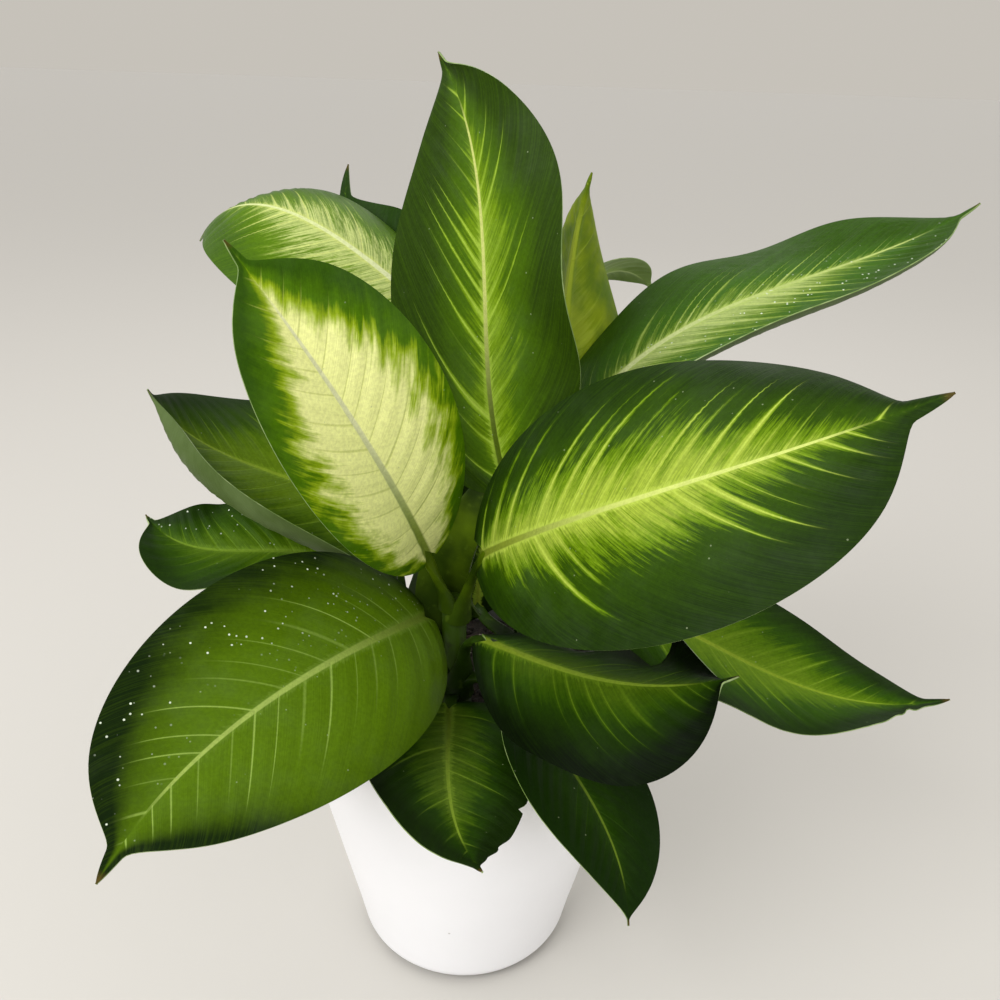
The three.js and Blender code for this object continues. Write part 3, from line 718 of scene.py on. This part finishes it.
def bladeSurface(leaf, t, u):
    # the middle surface on a grid of shares along t and across u, and each point's place in mm
    point, along, across, up = ribFrame(leaf, t)
    steps = np.linalg.norm(np.diff(point, axis=0), axis=1)
    distance = np.concatenate([[0], np.cumsum(steps)])
    length = distance[-1]
    surface = np.zeros((len(t), len(u), 3))
    real = np.zeros((len(t), len(u), 2))
    middleColumn = len(u) // 2
    share = bladeOutline(leaf, t)
    for side, sign in enumerate((-1, 1)):
        columns = range(middleColumn, -1, -1) if sign < 0 else range(middleColumn, len(u))
        reach = np.abs(u[list(columns)])
        gap = np.diff(reach)
        middle = reach[:-1] + gap / 2
        half = np.maximum(blade["tipHalf"], leaf["width"] / 2 * share * leaf["sides"][side])
        for nickSide, place, depth, spread in leaf["nicks"]:
            if nickSide == side:
                half = half * (1 - depth * np.exp(-((t - place) / spread) ** 2))
        curl = leaf["curl"][side] * (1 - t) + leaf["curlTip"][side] * t
        roll = leaf["roll"][side] * np.clip((t - leaf["rollFrom"]) / 0.1, 0, 1)
        bend = np.radians(leaf["fold"] + 1.5 * curl[:, None] * middle ** 2
                          + roll[:, None] * np.clip((middle - 0.5) / 0.5, 0, 1))
        zero = np.zeros((len(t), 1))
        out = np.hstack([zero, np.cumsum(half[:, None] * gap * np.cos(bend), axis=1)])
        lift = np.hstack([zero, np.cumsum(half[:, None] * gap * np.sin(bend), axis=1)])
        swell = np.sin(2 * math.pi * leaf["waves"][side] * t + math.radians(leaf["start"][side]))
        ripple = np.sqrt(np.clip(np.sin(math.pi * t), 0, 1)) * swell
        lift = lift + leaf["wave"][side] * reach ** 2 * ripple[:, None]
        back = -blade["lobe"] * length * (1 - t[:, None]) ** 4 * reach
        for k, column in enumerate(columns):
            surface[:, column] = (point + across * sign * out[:, k:k + 1] + up * lift[:, k:k + 1]
                                  + along * back[:, k:k + 1])
            real[:, column, 0] = sign * half * reach[k]
            real[:, column, 1] = distance
    return surface, real, length


def sideVeinPlace(real, share, t, lean, seed):
    # the same run of the side veins as in the leaf pattern, for the pleats
    sign = np.sign(real[..., 0])
    start, gain = veins["lean"]
    leaning = lean * (start + gain * t[:, None]) + veins["curve"] * share ** 2
    straight = real[..., 1] - np.abs(real[..., 0]) * leaning
    deep, slow, small, quick = veins["wobble"]
    phase = sign * veins["sidePhase"] + seed
    return straight + deep * np.sin(straight * slow + phase) + small * np.sin(straight * quick + phase)


def vertexPlaces(mesh):
    flat = np.zeros(len(mesh.vertices) * 3)
    mesh.vertices.foreach_get("co", flat)
    return flat.reshape(-1, 3)


def writeUv(mesh, name, values, count):
    # one value for each corner, the same above and below
    layer = mesh.uv_layers.get(name) or mesh.uv_layers.new(name=name)
    corners = np.zeros(len(mesh.loops), dtype=np.int32)
    mesh.loops.foreach_get("vertex_index", corners)
    layer.data.foreach_set("uv", values[corners % count].ravel())


def addBlade(name, leaf, seed):
    deselectAll()
    bpy.ops.mesh.primitive_grid_add(x_subdivisions=blade["columns"], y_subdivisions=blade["rows"], size=2)
    piece = bpy.context.object
    piece.name = name
    mesh = piece.data
    flat = vertexPlaces(mesh)
    count = len(flat)
    column, row = [np.rint((flat[:, axis] + 1) / 2 * blade[steps]).astype(int)
                   for axis, steps in enumerate(("columns", "rows"))]
    # rows lie closer together at both ends, columns at the midrib
    even = np.linspace(0, 1, blade["rows"] + 1)
    t = 0.7 * (1 - np.cos(math.pi * even)) / 2 + 0.3 * even
    u = np.linspace(-1, 1, blade["columns"] + 1)
    u = 0.75 * u + 0.25 * np.sign(u) * u ** 2
    surface, real, length = bladeSurface(leaf, t, u)
    normal = unit(np.cross(np.gradient(surface, axis=1), np.gradient(surface, axis=0)))
    look = {**basePaint, **leaf["paint"]}
    share = np.abs(u)[None, :]
    place = sideVeinPlace(real, share, t, look["lean"], seed)
    # soft pleats, low over each side vein and fading to the midrib, the margin and the tip
    fade = np.clip(share / 0.25, 0, 1) * np.clip((1 - share) / 0.3, 0, 1)
    fade = fade * np.clip((1 - t[:, None]) / 0.2, 0, 1)
    pleat = -blade["pleat"] * fade * np.cos(2 * math.pi * place / look["spacing"])
    away = np.abs(real[..., 0])
    slender = ((1 - t) ** 0.6)[:, None]
    groove = -blade["groove"] * slender * np.exp(-(away / blade["grooveHalf"]) ** 2)
    keel = blade["ribDepth"] * slender * np.exp(-(away / blade["ribHalf"]) ** 2)
    thick = blade["thickness"] * (1 - share ** 4) + blade["edgeThickness"] * share ** 4
    upper = surface + normal * (thick / 2 + pleat + groove)[..., None]
    under = surface - normal * (thick / 2 - pleat + keel)[..., None]
    # a thickness makes the closed shell, then both skins take their own shape
    bpy.context.view_layer.objects.active = piece
    shell = piece.modifiers.new("thickness", "SOLIDIFY")
    shell.thickness = 0.02
    shell.offset = -1.0
    shell.material_offset = 1
    shell.material_offset_rim = 2
    mesh.materials.clear()
    for material in (makeBladeMaterial(name + "Blade", look, length, seed),
                     makeUndersideMaterial(name + "Under", look, length, seed), edgeMaterial):
        mesh.materials.append(material)
    bpy.ops.object.modifier_apply(modifier="thickness")
    places = np.vstack([upper[row, column], under[row, column]]) * mm
    mesh.vertices.foreach_set("co", places.ravel())
    writeUv(mesh, "UVMap", np.stack([(u[column] + 1) / 2, t[row]], axis=1), count)
    writeUv(mesh, "millimetres", real[row, column], count)
    mesh.update()
    return piece


stalk = {
    "sides": 24,
    "rings": 44,
    "top": 2.9,  # half width where it meets the blade
    "middle": 4.2,
    "offset": 3,  # how far the foot's middle lies off the cane's middle
    "bow": 0.12,  # how far it first leans out, as a share of its reach
    "rise": 0.35,
}


def stalkCurve(leaf, s):
    cane = canes[leaf["cane"]]
    turn = math.radians(leaf["turn"])
    outward = np.array([math.cos(turn), math.sin(turn), 0])
    foot = np.array([cane["x"], cane["y"], leaf["foot"]]) + outward * stalk["offset"]
    point, along, across, up = ribFrame(leaf, [0])
    # it ends inside the blade's midrib
    top = point[0] + along[0] * 5 - up[0] * 1.6
    reach = np.linalg.norm(top - foot)
    bow = leaf["bow"] or outward[:2] * stalk["bow"] * reach
    first = foot + np.array([bow[0], bow[1], stalk["rise"] * reach])
    second = top - along[0] * min(0.4 * reach, leaf["lead"])
    centre, tangent = curveAt(foot, first, second, top, s)
    s = s[:, None]
    right = unit(np.cross(tangent, unit(-outward * (1 - s) + up[0] * s)))
    return centre, right, np.cross(right, tangent)


def addStalk(name, leaf):
    deselectAll()
    bpy.ops.mesh.primitive_cylinder_add(vertices=stalk["sides"], radius=1, depth=2, end_fill_type="TRIFAN")
    piece = bpy.context.object
    piece.name = name
    bpy.ops.object.mode_set(mode="EDIT")
    bpy.ops.mesh.select_mode(type="EDGE")
    bpy.ops.mesh.select_all(action="DESELECT")
    form = bmesh.from_edit_mesh(piece.data)
    for edge in form.edges:
        if abs(edge.verts[0].co.z - edge.verts[1].co.z) > 1:
            edge.select = True
    bmesh.update_edit_mesh(piece.data)
    bpy.ops.mesh.subdivide(number_cuts=stalk["rings"] - 1)
    bpy.ops.mesh.select_mode(type="VERT")
    bpy.ops.object.mode_set(mode="OBJECT")
    mesh = piece.data
    flat = vertexPlaces(mesh)
    count = len(flat)
    s = np.clip((flat[:, 2] + 1) / 2, 0, 1) ** 1.15
    radius = np.hypot(flat[:, 0], flat[:, 1])
    angle = np.arctan2(flat[:, 1], flat[:, 0])
    centre, right, up = stalkCurve(leaf, s)
    slender = stalk["middle"] + (stalk["top"] - stalk["middle"]) * s
    clasp = np.clip(1 - s / leaf["sheath"], 0, 1) ** 1.5
    wide = slender + (leaf["clasp"] - slender) * clasp
    deep = leaf["flat"] * wide
    # the outer side is round; the inner side is a channel with lips, deep in the sheath
    channel = 0.3 + 0.4 * clasp
    lips = channel * np.abs(np.cos(angle)) ** 3 * 0.6
    inner = deep * (np.sin(angle) * (1 - 1.5 * channel) + lips)
    height = np.where(np.sin(angle) > 0, inner, deep * np.sin(angle))
    place = centre + right * (wide * np.cos(angle) * radius)[:, None] + up * (height * radius)[:, None]
    mesh.vertices.foreach_set("co", (place * mm).ravel())
    writeUv(mesh, "UVMap", np.stack([angle / (2 * math.pi) + 0.5, s], axis=1), count)
    writeUv(mesh, "millimetres", np.stack([angle, s], axis=1), count)
    mesh.materials.clear()
    mesh.materials.append(stalkMaterials[leaf["stalk"]])
    mesh.update()
    return piece


def finishPiece(piece, slot, *nodes, sharp=40):
    # faces out, smooth but for the sharp edges, and onto its body
    deselectAll()
    bpy.context.view_layer.objects.active = piece
    piece.select_set(True)
    bpy.ops.object.mode_set(mode="EDIT")
    bpy.ops.mesh.select_all(action="SELECT")
    bpy.ops.mesh.normals_make_consistent(inside=False)
    bpy.ops.object.mode_set(mode="OBJECT")
    bpy.ops.object.shade_smooth_by_angle(angle=math.radians(sharp))
    bpy.ops.object.transform_apply(location=True, rotation=True, scale=True)
    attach(piece, "root")
    if nodes:
        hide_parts(*nodes)


for index, (name, values) in enumerate(leaves.items()):
    leaf = {**usualLeaf, **values}
    piece = addBlade(name, leaf, index * 1.7)
    stem = addStalk(name + "Stalk", leaf)
    deselectAll()
    stem.select_set(True)
    piece.select_set(True)
    bpy.context.view_layer.objects.active = piece
    bpy.ops.object.join()
    finishPiece(piece, "cream_leaf" if name == "leafCream" else "leaf", leaf["node"], sharp=60)
print("leaves ready:", len(leaves))


# Turned pieces: a disc is extruded ring by ring up the profile, as a potter would pull it

def addTurned(name, profile, sides, x=0, y=0):
    deselectAll()
    radius, height = profile[0]
    bpy.ops.mesh.primitive_circle_add(vertices=sides, radius=radius * mm, fill_type="NGON",
                                      location=(0, 0, height * mm))
    piece = bpy.context.object
    piece.name = name
    bpy.ops.object.transform_apply(location=True, rotation=True, scale=True)
    bpy.ops.object.mode_set(mode="EDIT")
    bpy.ops.mesh.select_all(action="SELECT")
    for (oldRadius, oldHeight), (newRadius, newHeight) in zip(profile, profile[1:]):
        bpy.ops.mesh.extrude_region_move(
            TRANSFORM_OT_translate={"value": (0, 0, (newHeight - oldHeight) * mm)})
        ratio = newRadius / oldRadius
        bpy.ops.transform.resize(value=(ratio, ratio, 1), center_override=(0, 0, newHeight * mm))
    bpy.ops.mesh.select_all(action="DESELECT")
    bpy.ops.object.mode_set(mode="OBJECT")
    for vertex in piece.data.vertices:
        vertex.co.x += x * mm
        vertex.co.y += y * mm
    return piece


def arc(centreRadius, centreHeight, radius, start, end, steps):
    angles = [math.radians(start + (end - start) * k / steps) for k in range(steps + 1)]
    return [(centreRadius + radius * math.cos(a), centreHeight + radius * math.sin(a)) for a in angles]


# Pot
# dust is the dark tone of the painted shade on the inner wall
pot = {
    "height": 160, "topRadius": 91, "baseRadius": 43, "taper": 0.2175, "footRound": 13,
    "wall": 4, "floor": 6, "rimRound": 1.6, "sides": 144,
    "outerRings": range(24, 154, 13), "innerRings": (150, 135, 110, 80, 50, 21),
    "glaze": "#f1f1f4", "shade": "#ebebee", "speck": "#a3a09a", "dust": "#2c2218",
}


def wallRadius(height):
    return pot["topRadius"] - pot["taper"] * (pot["height"] - height)


def makePotMaterial():
    material, shader = newMaterial("potGlaze", 0.42, Coat_Weight=0.15, Coat_Roughness=0.35)
    places = objectPlaces(material)
    cloud = noiseAt(places, 9.0, 4.0)
    body = mixColour(ease(cloud, 0.3, 0.75), paint(pot["glaze"]), paint(pot["shade"]))
    dotted = mixColour(speckMask(material, "dots") * 0.6, body, paint(pot["speck"]))
    # painted shade: the inner wall above the soil is darkened, as in the shadow under the leaves
    x, y, z = partsOf(places)
    middle = (z - pot["height"] * mm) * pot["taper"] + (pot["topRadius"] - pot["wall"] / 2) * mm
    inside = calc("LESS_THAN", calc("SQRT", x * x + y * y), middle)
    paintedShade = ease(cloud * 0.006 + z, 0.155, 0.163, 0.85, 0.0)
    wire(shader["Base Color"], mixColour(inside * paintedShade, dotted, paint(pot["dust"])))
    wire(shader["Roughness"], ease(cloud, 0.3, 0.7, 0.38, 0.5))
    addBump(shader, cloud * 0.6 + noiseAt(places, 260.0, 3.0), 0.12, 0.0006)
    return material


def addPot():
    lean = math.degrees(math.atan(pot["taper"]))
    foot = pot["footRound"]
    outer = [(pot["baseRadius"] - 30, 0), (pot["baseRadius"] - 4, 0), (pot["baseRadius"], 0.01)]
    outer += arc(wallRadius(foot) - foot, foot, foot, -75, -lean, 12)
    outer += [(wallRadius(h), h) for h in pot["outerRings"]]
    rimRound = pot["rimRound"]
    rim = arc(pot["topRadius"] - rimRound, pot["height"] - rimRound, rimRound, 0, 90, 6)
    rim += arc(pot["topRadius"] - pot["wall"] + rimRound, pot["height"] - rimRound, rimRound, 90, 180, 6)
    inner = [(wallRadius(h) - pot["wall"], h) for h in pot["innerRings"]]
    inner += [(pot["baseRadius"] + 4, pot["floor"]), (12, pot["floor"])]
    piece = addTurned("coverPot", outer + rim + inner, pot["sides"])
    piece.data.materials.append(makePotMaterial())
    finishPiece(piece, "pot", "pot", sharp=35)


addPot()
print("pot ready")


# Soil
soil = {
    "level": 144, "lump": 1.6, "sides": 96, "rings": 26, "outerRings": (28, 60, 90, 120, 141),
    "gap": 0.6,  # to the pot's wall
    "reach": 76, "clear": 11,  # how far out loose bits lie, and how far from a cane's middle
    "crumbs": 520, "bark": 70, "grit": 60, "seed": 7,
    "dark": "#17110c", "brown": "#2b1f14", "barkColour": "#3d2b1c", "gritDark": "#9f998a",
    "gritColour": "#a39d8f",
}


def makeEarthMaterial(name, dark, light, scale):
    material, shader = newMaterial(name, 0.92)
    grains = noiseAt(objectPlaces(material), scale, 5.0, 0.7)
    wire(shader["Base Color"], mixColour(ease(grains, 0.35, 0.68), paint(soil[dark]), paint(soil[light])))
    addBump(shader, grains, 0.8, 0.0015)
    return material


def soilHeight(x, y):
    # the same low lumps as the solid, with finer unevenness on top
    lumps = math.sin(0.31 * x + 1.3) * math.cos(0.27 * y) + 0.5 * math.sin(0.6 * x - 0.5 * y)
    fine = noise.noise(Vector((x * 0.16, y * 0.16, 3.0))) * 1.2
    fine += noise.noise(Vector((x * 0.5, y * 0.5, 8.0))) * 0.5
    return soil["lump"] * 0.5 * lumps + fine


def addSoil():
    inset = pot["wall"] + soil["gap"]
    edge = wallRadius(soil["level"]) - inset - 2
    profile = [(pot["baseRadius"], pot["floor"] + 0.3)]
    profile += [(wallRadius(h) - inset, h) for h in soil["outerRings"]] + [(edge, soil["level"])]
    for k in range(1, soil["rings"] + 1):
        share = k / soil["rings"]
        profile.append((edge * (1 - share) + share, soil["level"] + min(1, 0.2 * k)))
    piece = addTurned("pottingSoil", profile, soil["sides"])
    for vertex in piece.data.vertices:
        if vertex.co.z > (soil["level"] - 0.5) * mm:
            vertex.co.z += soilHeight(vertex.co.x / mm, vertex.co.y / mm) * mm
    piece.data.materials.append(makeEarthMaterial("compost", "dark", "brown", 420.0))
    finishPiece(piece, "soil", "soil", sharp=80)


def scatterBits(name, count, size, flatness, material, draw):
    # one rough bit is modelled, then copied over the soil, each turned and sized by chance
    deselectAll()
    bpy.ops.mesh.primitive_ico_sphere_add(subdivisions=1, radius=1)
    pattern = bpy.context.object
    corners = [v.co * (1 + draw.uniform(-0.25, 0.25)) for v in pattern.data.vertices]
    faces = [tuple(f.vertices) for f in pattern.data.polygons]
    bpy.data.objects.remove(pattern)
    vertices = []
    polygons = []
    while len(polygons) < count * len(faces):
        angle = draw.uniform(0, 2 * math.pi)
        away = soil["reach"] * math.sqrt(draw.random())
        x = away * math.cos(angle)
        y = away * math.sin(angle)
        if any(math.hypot(x - c["x"], y - c["y"]) < soil["clear"] for c in canes.values()):
            continue
        half = draw.uniform(*size)
        turn = Matrix.Rotation(draw.uniform(0, 2 * math.pi), 3, "Z")
        turn = turn @ Matrix.Rotation(draw.uniform(-0.5, 0.5), 3, "X")
        stretch = Vector((half * draw.uniform(1, flatness), half, half / math.sqrt(flatness)))
        height = soil["level"] + 0.9 + soilHeight(x, y) + stretch.z * 0.35
        first = len(vertices)
        for corner in corners:
            spot = turn @ Vector((corner.x * stretch.x, corner.y * stretch.y, corner.z * stretch.z))
            vertices.append(((x + spot.x) * mm, (y + spot.y) * mm, (height + spot.z) * mm))
        polygons.extend(tuple(first + index for index in face) for face in faces)
    mesh = bpy.data.meshes.new(name)
    mesh.from_pydata(vertices, [], polygons)
    piece = bpy.data.objects.new(name, mesh)
    bpy.context.collection.objects.link(piece)
    piece.data.materials.append(material)
    finishPiece(piece, "soil", sharp=50)


addSoil()
draw = random.Random(soil["seed"])
for name, count, size, flatness, material in (
    ("soilCrumbs", soil["crumbs"], (0.8, 2.4), 1.4, makeEarthMaterial("crumbs", "dark", "brown", 300.0)),
    ("barkChips", soil["bark"], (1.6, 3.4), 2.4, makeEarthMaterial("bark", "brown", "barkColour", 240.0)),
    ("whiteGrit", soil["grit"], (0.6, 1.3), 1.2, makeEarthMaterial("grit", "gritDark", "gritColour", 200.0)),
):
    scatterBits(name, count, size, flatness, material, draw)
print("soil ready")


# Canes
caneForm = {
    "hole": 42, "step": 11, "ringsTo": 166, "sides": 40, "ring": 0.7,
    "ringForm": ((0, 0), (0.8, 0.8), (1, 1.3), (0.8, 1.8), (0, 2.6)),  # share of the ring, mm up
    "green": "#2c4204", "old": "#3c4616", "scar": "#222c0a",
}


def makeCaneMaterial():
    material, shader = newMaterial("caneSkin", 0.5, Specular_IOR_Level=0.15)
    places = objectPlaces(material)
    cloud = noiseAt(places, 60.0, 3.0)
    age = ease(cloud * 0.03 + partsOf(places)[2], 0.162, 0.174, 1.0, 0.0)
    body = mixColour(age, paint(caneForm["green"]), paint(caneForm["old"]))
    scars = ease(noiseAt(places, 240.0, 2.0), 0.58, 0.72, 0.0, 0.6)
    wire(shader["Base Color"], mixColour(scars, body, paint(caneForm["scar"])))
    addBump(shader, cloud, 0.3, 0.001)
    return material


caneSkin = makeCaneMaterial()
for side, cane in canes.items():
    r = cane["radius"]
    top = cane["top"]
    bottom = soil["level"] - caneForm["hole"]
    profile = [(r - 2, bottom), (r, bottom + 3), (r, soil["level"] - 14)]
    for height in range(soil["level"] - 10, caneForm["ringsTo"], caneForm["step"]):
        profile += [(r + caneForm["ring"] * share, height + rise) for share, rise in caneForm["ringForm"]]
    profile += [(r, top - 3), (r - 1, top - 1), (r - 3, top)]
    piece = addTurned("cane" + side.capitalize(), profile, caneForm["sides"], cane["x"], cane["y"])
    piece.data.materials.append(caneSkin)
    finishPiece(piece, "cane", cane["node"], sharp=50)
print("canes ready")


# Floor, light and camera
stage = {
    "floor": "#c6c3bd", "floorSize": 60, "world": "#f7f5f2", "worldStrength": 1.0,
    "sheen": 1.08,  # how much brighter than its paint the far floor looks
    "key": {"place": (-0.9, -1.1, 1.3), "size": 1.2, "power": 24},
    "fill": {"place": (1.1, -0.8, 0.9), "size": 1.2, "power": 2},
    "back": {"place": (0.2, 1.1, 1.4), "size": 1.0, "power": 3},
}
# place in mm, down and roll in degrees, focal and image in pixels
camera = {"place": (13, -415, 450), "down": 24.5, "roll": 1.9, "focal": 950, "sensor": 36, "image": 1000}


def addFloor():
    deselectAll()
    bpy.ops.mesh.primitive_plane_add(size=stage["floorSize"], location=(0, 0, -0.0002))
    floor = bpy.context.object
    floor.name = "floor"
    material, shader = newMaterial("floorPaint", 0.8)
    shader["Base Color"].default_value = paint(stage["floor"])
    floor.data.materials.append(material)


def addLight(name, values):
    data = bpy.data.lights.new(name, "AREA")
    data.shape = "DISK"
    data.size = values["size"]
    data.energy = values["power"]
    light = bpy.data.objects.new(name, data)
    light.location = values["place"]
    aim = Vector((0, 0, 0.25)) - Vector(values["place"])
    light.rotation_euler = aim.to_track_quat("-Z", "Y").to_euler()
    bpy.context.collection.objects.link(light)


def addCamera():
    data = bpy.data.cameras.new("camera")
    data.sensor_width = camera["sensor"]
    data.lens = camera["focal"] / camera["image"] * camera["sensor"]
    data.clip_start = 0.01
    eye = bpy.data.objects.new("camera", data)
    tilt = Matrix.Rotation(math.radians(90 - camera["down"]), 4, "X")
    roll = Matrix.Rotation(math.radians(camera["roll"]), 4, "Z")
    eye.matrix_world = Matrix.Translation(Vector(camera["place"]) * mm) @ tilt @ roll
    bpy.context.collection.objects.link(eye)
    bpy.context.scene.camera = eye


addFloor()
for lightName in ("key", "fill", "back"):
    addLight(lightName, stage[lightName])
addCamera()
world = bpy.data.worlds.new("studio")
world.use_nodes = True
sky = world.node_tree.nodes["Background"].inputs
sky["Strength"].default_value = stage["worldStrength"]
# seen directly, the sky has the floor's own tone, so that no horizon shows
seen = [a * b * stage["sheen"] for a, b in zip(paint(stage["world"]), paint(stage["floor"]))]
rays = addNode(world.node_tree, "LightPath", {}, "Is Camera Ray")
wire(sky["Color"], mixColour(rays, paint(stage["world"]), seen))
bpy.context.scene.world = world
bpy.context.scene.view_settings.view_transform = "Standard"
print("stage ready")
